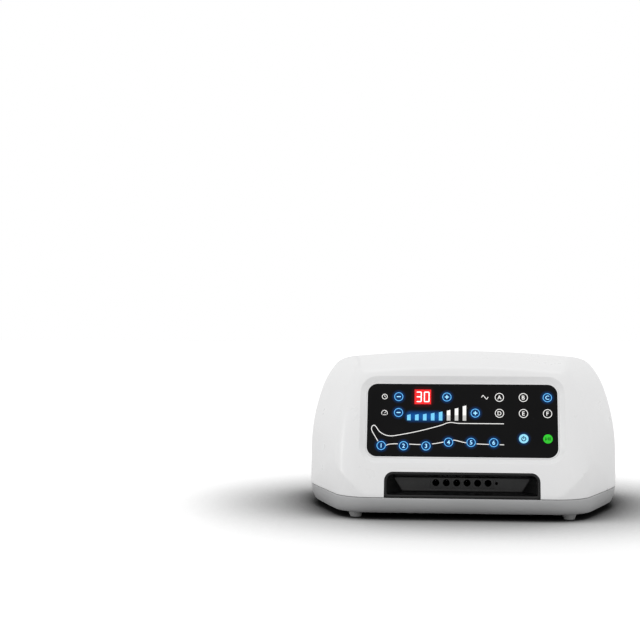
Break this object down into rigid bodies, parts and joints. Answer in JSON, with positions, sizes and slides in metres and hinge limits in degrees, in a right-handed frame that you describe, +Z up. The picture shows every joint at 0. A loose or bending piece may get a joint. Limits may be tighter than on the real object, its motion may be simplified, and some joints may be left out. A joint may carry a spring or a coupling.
{
  "type": "compression therapy pump",
  "caption": "Table-top air compression therapy pump: leaning control panel with press keys, hose outlet bay below it, white cover on a grey base with feet.",
  "frame": {"origin": "on the table, under the middle of the body's width and depth", "axes": "+X to the right as seen from the front, +Y to the back, +Z up; the panel faces -Y and leans back 20 degrees"},
  "size_m": [0.29, 0.2079, 0.147],
  "materials": {
    "cover_white": "smooth injection-moulded white, satin gloss",
    "base_grey": "fine-textured grey",
    "foot_rubber": "soft grey rubber",
    "screw_steel": "zinc-plated",
    "plate_silver": "blank satin foil",
    "fascia_black": "black polished panel",
    "display_black": "smoked window with lit red digits",
    "bar_light": "light guides, lit blue or white",
    "board_green": "circuit board",
    "switch_black": "moulded black",
    "receiver_dark": "infrared-clear dark plastic",
    "key_black": "black key with a lit ring and sign",
    "key_blue": "lit pale blue key",
    "key_green": "lit green key",
    "bay_black": "satin black moulding",
    "socket_black": "black elastomer",
    "tube_clear": "milky silicone",
    "manifold_plastic": "natural nylon",
    "coil_blue": "coil moulded in blue plastic",
    "pump_aluminium": "die-cast",
    "coil_copper": "enamelled copper winding",
    "diaphragm_rubber": "black rubber",
    "filter_foam": "open-cell foam",
    "inlet_black": "moulded black",
    "lead_brown": "insulated lead",
    "ribbon_grey": "flat grey cable",
    "plunger_steel": "ground steel"
  },
  "bodies": {
    "root": {"top_shell": "cover_white", "base_shell": "base_grey", "feet": "foot_rubber", "case_screws": "screw_steel", "rating_plate": "plate_silver", "panel_fascia": "fascia_black", "time_display": "display_black", "pressure_bars": "bar_light", "control_board": "board_green", "board_screws": "screw_steel", "tactile_switches": "switch_black", "remote_receiver": "receiver_dark", "outlet_bay": "bay_black", "air_sockets": "socket_black", "chamber_tubes": "tube_clear", "valve_manifold": "manifold_plastic", "valve_coils": "coil_blue", "pressure_sensor": "switch_black", "supply_tube": "tube_clear", "pump_frame": "pump_aluminium", "pump_coils": "coil_copper", "pump_diaphragms": "diaphragm_rubber", "pump_heads": "pump_aluminium", "pump_mounts": "diaphragm_rubber", "intake_tube": "tube_clear", "intake_filter": "filter_foam", "filter_cover": "cover_white", "power_board": "board_green", "transformer": "coil_copper", "power_inlet": "inlet_black", "inlet_leads": "lead_brown", "ribbon_cable": "ribbon_grey"},
    "time_minus_key": {"time_minus_key": "key_black"},
    "time_plus_key": {"time_plus_key": "key_black"},
    "pressure_minus_key": {"pressure_minus_key": "key_black"},
    "pressure_plus_key": {"pressure_plus_key": "key_black"},
    "mode_a_key": {"mode_a_key": "key_black"},
    "mode_b_key": {"mode_b_key": "key_black"},
    "mode_c_key": {"mode_c_key": "key_black"},
    "mode_d_key": {"mode_d_key": "key_black"},
    "mode_e_key": {"mode_e_key": "key_black"},
    "mode_f_key": {"mode_f_key": "key_black"},
    "position_1_key": {"position_1_key": "key_black"},
    "position_2_key": {"position_2_key": "key_black"},
    "position_3_key": {"position_3_key": "key_black"},
    "position_4_key": {"position_4_key": "key_black"},
    "position_5_key": {"position_5_key": "key_black"},
    "position_6_key": {"position_6_key": "key_black"},
    "power_key": {"power_key": "key_blue"},
    "start_key": {"start_key": "key_green"},
    "valve_plunger_1": {"valve_plunger_1": "plunger_steel"},
    "valve_plunger_2": {"valve_plunger_2": "plunger_steel"},
    "valve_plunger_3": {"valve_plunger_3": "plunger_steel"},
    "valve_plunger_4": {"valve_plunger_4": "plunger_steel"},
    "valve_plunger_5": {"valve_plunger_5": "plunger_steel"},
    "valve_plunger_6": {"valve_plunger_6": "plunger_steel"},
    "vent_plunger": {"vent_plunger": "plunger_steel"},
    "pump_armature": {"pump_armature": "plunger_steel"}
  },
  "joints": [
    {"name": "time_minus_press", "type": "slide", "parent": "root", "child": "time_minus_key", "axis": [0, 0.9397, -0.342], "range_m": [0, 0.0005], "stiffness_N_per_m": 600, "springref_m": -0.0005},
    {"name": "time_plus_press", "type": "slide", "parent": "root", "child": "time_plus_key", "axis": [0, 0.9397, -0.342], "range_m": [0, 0.0005], "stiffness_N_per_m": 600, "springref_m": -0.0005},
    {"name": "pressure_minus_press", "type": "slide", "parent": "root", "child": "pressure_minus_key", "axis": [0, 0.9397, -0.342], "range_m": [0, 0.0005], "stiffness_N_per_m": 600, "springref_m": -0.0005},
    {"name": "pressure_plus_press", "type": "slide", "parent": "root", "child": "pressure_plus_key", "axis": [0, 0.9397, -0.342], "range_m": [0, 0.0005], "stiffness_N_per_m": 600, "springref_m": -0.0005},
    {"name": "mode_a_press", "type": "slide", "parent": "root", "child": "mode_a_key", "axis": [0, 0.9397, -0.342], "range_m": [0, 0.0005], "stiffness_N_per_m": 600, "springref_m": -0.0005},
    {"name": "mode_b_press", "type": "slide", "parent": "root", "child": "mode_b_key", "axis": [0, 0.9397, -0.342], "range_m": [0, 0.0005], "stiffness_N_per_m": 600, "springref_m": -0.0005},
    {"name": "mode_c_press", "type": "slide", "parent": "root", "child": "mode_c_key", "axis": [0, 0.9397, -0.342], "range_m": [0, 0.0005], "stiffness_N_per_m": 600, "springref_m": -0.0005},
    {"name": "mode_d_press", "type": "slide", "parent": "root", "child": "mode_d_key", "axis": [0, 0.9397, -0.342], "range_m": [0, 0.0005], "stiffness_N_per_m": 600, "springref_m": -0.0005},
    {"name": "mode_e_press", "type": "slide", "parent": "root", "child": "mode_e_key", "axis": [0, 0.9397, -0.342], "range_m": [0, 0.0005], "stiffness_N_per_m": 600, "springref_m": -0.0005},
    {"name": "mode_f_press", "type": "slide", "parent": "root", "child": "mode_f_key", "axis": [0, 0.9397, -0.342], "range_m": [0, 0.0005], "stiffness_N_per_m": 600, "springref_m": -0.0005},
    {"name": "position_1_press", "type": "slide", "parent": "root", "child": "position_1_key", "axis": [0, 0.9397, -0.342], "range_m": [0, 0.0005], "stiffness_N_per_m": 600, "springref_m": -0.0005},
    {"name": "position_2_press", "type": "slide", "parent": "root", "child": "position_2_key", "axis": [0, 0.9397, -0.342], "range_m": [0, 0.0005], "stiffness_N_per_m": 600, "springref_m": -0.0005},
    {"name": "position_3_press", "type": "slide", "parent": "root", "child": "position_3_key", "axis": [0, 0.9397, -0.342], "range_m": [0, 0.0005], "stiffness_N_per_m": 600, "springref_m": -0.0005},
    {"name": "position_4_press", "type": "slide", "parent": "root", "child": "position_4_key", "axis": [0, 0.9397, -0.342], "range_m": [0, 0.0005], "stiffness_N_per_m": 600, "springref_m": -0.0005},
    {"name": "position_5_press", "type": "slide", "parent": "root", "child": "position_5_key", "axis": [0, 0.9397, -0.342], "range_m": [0, 0.0005], "stiffness_N_per_m": 600, "springref_m": -0.0005},
    {"name": "position_6_press", "type": "slide", "parent": "root", "child": "position_6_key", "axis": [0, 0.9397, -0.342], "range_m": [0, 0.0005], "stiffness_N_per_m": 600, "springref_m": -0.0005},
    {"name": "power_press", "type": "slide", "parent": "root", "child": "power_key", "axis": [0, 0.9397, -0.342], "range_m": [0, 0.0005], "stiffness_N_per_m": 600, "springref_m": -0.0005},
    {"name": "start_press", "type": "slide", "parent": "root", "child": "start_key", "axis": [0, 0.9397, -0.342], "range_m": [0, 0.0005], "stiffness_N_per_m": 600, "springref_m": -0.0005},
    {"name": "valve_lift_1", "type": "slide", "parent": "root", "child": "valve_plunger_1", "axis": [0, 0, 1], "range_m": [0, 0.0015], "stiffness_N_per_m": 200, "springref_m": -0.001},
    {"name": "valve_lift_2", "type": "slide", "parent": "root", "child": "valve_plunger_2", "axis": [0, 0, 1], "range_m": [0, 0.0015], "stiffness_N_per_m": 200, "springref_m": -0.001},
    {"name": "valve_lift_3", "type": "slide", "parent": "root", "child": "valve_plunger_3", "axis": [0, 0, 1], "range_m": [0, 0.0015], "stiffness_N_per_m": 200, "springref_m": -0.001},
    {"name": "valve_lift_4", "type": "slide", "parent": "root", "child": "valve_plunger_4", "axis": [0, 0, 1], "range_m": [0, 0.0015], "stiffness_N_per_m": 200, "springref_m": -0.001},
    {"name": "valve_lift_5", "type": "slide", "parent": "root", "child": "valve_plunger_5", "axis": [0, 0, 1], "range_m": [0, 0.0015], "stiffness_N_per_m": 200, "springref_m": -0.001},
    {"name": "valve_lift_6", "type": "slide", "parent": "root", "child": "valve_plunger_6", "axis": [0, 0, 1], "range_m": [0, 0.0015], "stiffness_N_per_m": 200, "springref_m": -0.001},
    {"name": "vent_lift", "type": "slide", "parent": "root", "child": "vent_plunger", "axis": [0, 0, 1], "range_m": [0, 0.0015], "stiffness_N_per_m": 200, "springref_m": -0.001},
    {"name": "pump_stroke", "type": "slide", "parent": "root", "child": "pump_armature", "axis": [1, 0, 0], "range_m": [-0.0015, 0.0015], "stiffness_N_per_m": 3000}
  ]
}
